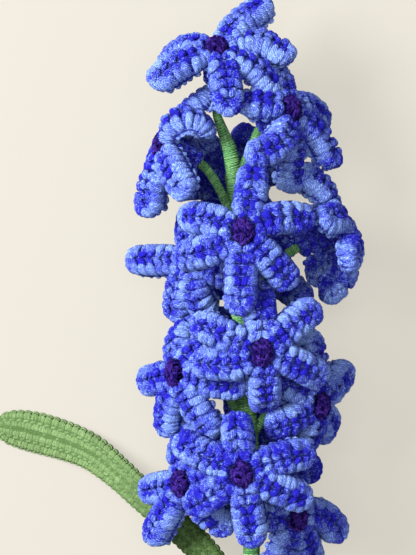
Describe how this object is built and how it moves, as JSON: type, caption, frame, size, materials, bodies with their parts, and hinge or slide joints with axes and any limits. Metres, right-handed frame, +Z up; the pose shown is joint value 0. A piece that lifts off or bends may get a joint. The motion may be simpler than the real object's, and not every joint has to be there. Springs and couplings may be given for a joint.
{
  "type": "crocheted hyacinth flower",
  "caption": "Crocheted hyacinth: a thread-wrapped wire stem with a head of curled blue yarn florets, a purple knot in the heart of each, and a green strap leaf. Lies flat as cut.",
  "frame": {"origin": "middle of the outline, on the surface that the flower lies on", "axes": "+Y along the stem from the cut end to the top floret, +Z up from the surface"},
  "size_m": [0.1491, 0.353, 0.0793],
  "materials": {
    "petal_yarn": "soft crocheted cotton yarn in two blues",
    "knot_yarn": "soft purple cotton yarn, embroidered in loops",
    "stem_thread": "fine green thread wound close round wire",
    "leaf_yarn": "crocheted light green cotton yarn"
  },
  "bodies": {
    "root": {"stalk": "stem_thread", "leaf": "leaf_yarn", "knot_top": "knot_yarn", "knot_left_1": "knot_yarn", "knot_right_1": "knot_yarn", "knot_front_2": "knot_yarn", "knot_right_2": "knot_yarn", "knot_left_2": "knot_yarn", "knot_front_3": "knot_yarn", "knot_left_3": "knot_yarn", "knot_right_3": "knot_yarn", "knot_front_4": "knot_yarn", "knot_left_4": "knot_yarn", "knot_right_4": "knot_yarn", "knot_back_1": "knot_yarn", "knot_back_2": "knot_yarn", "knot_back_3": "knot_yarn", "knot_back_4": "knot_yarn", "petals_top": "petal_yarn", "petals_left_1": "petal_yarn", "petals_right_1": "petal_yarn", "petals_front_2": "petal_yarn", "petals_right_2": "petal_yarn", "petals_left_2": "petal_yarn", "petals_front_3": "petal_yarn", "petals_left_3": "petal_yarn", "petals_right_3": "petal_yarn", "petals_front_4": "petal_yarn", "petals_left_4": "petal_yarn", "petals_right_4": "petal_yarn", "petals_back_1": "petal_yarn", "petals_back_2": "petal_yarn", "petals_back_3": "petal_yarn", "petals_back_4": "petal_yarn"}
  },
  "joints": []
}
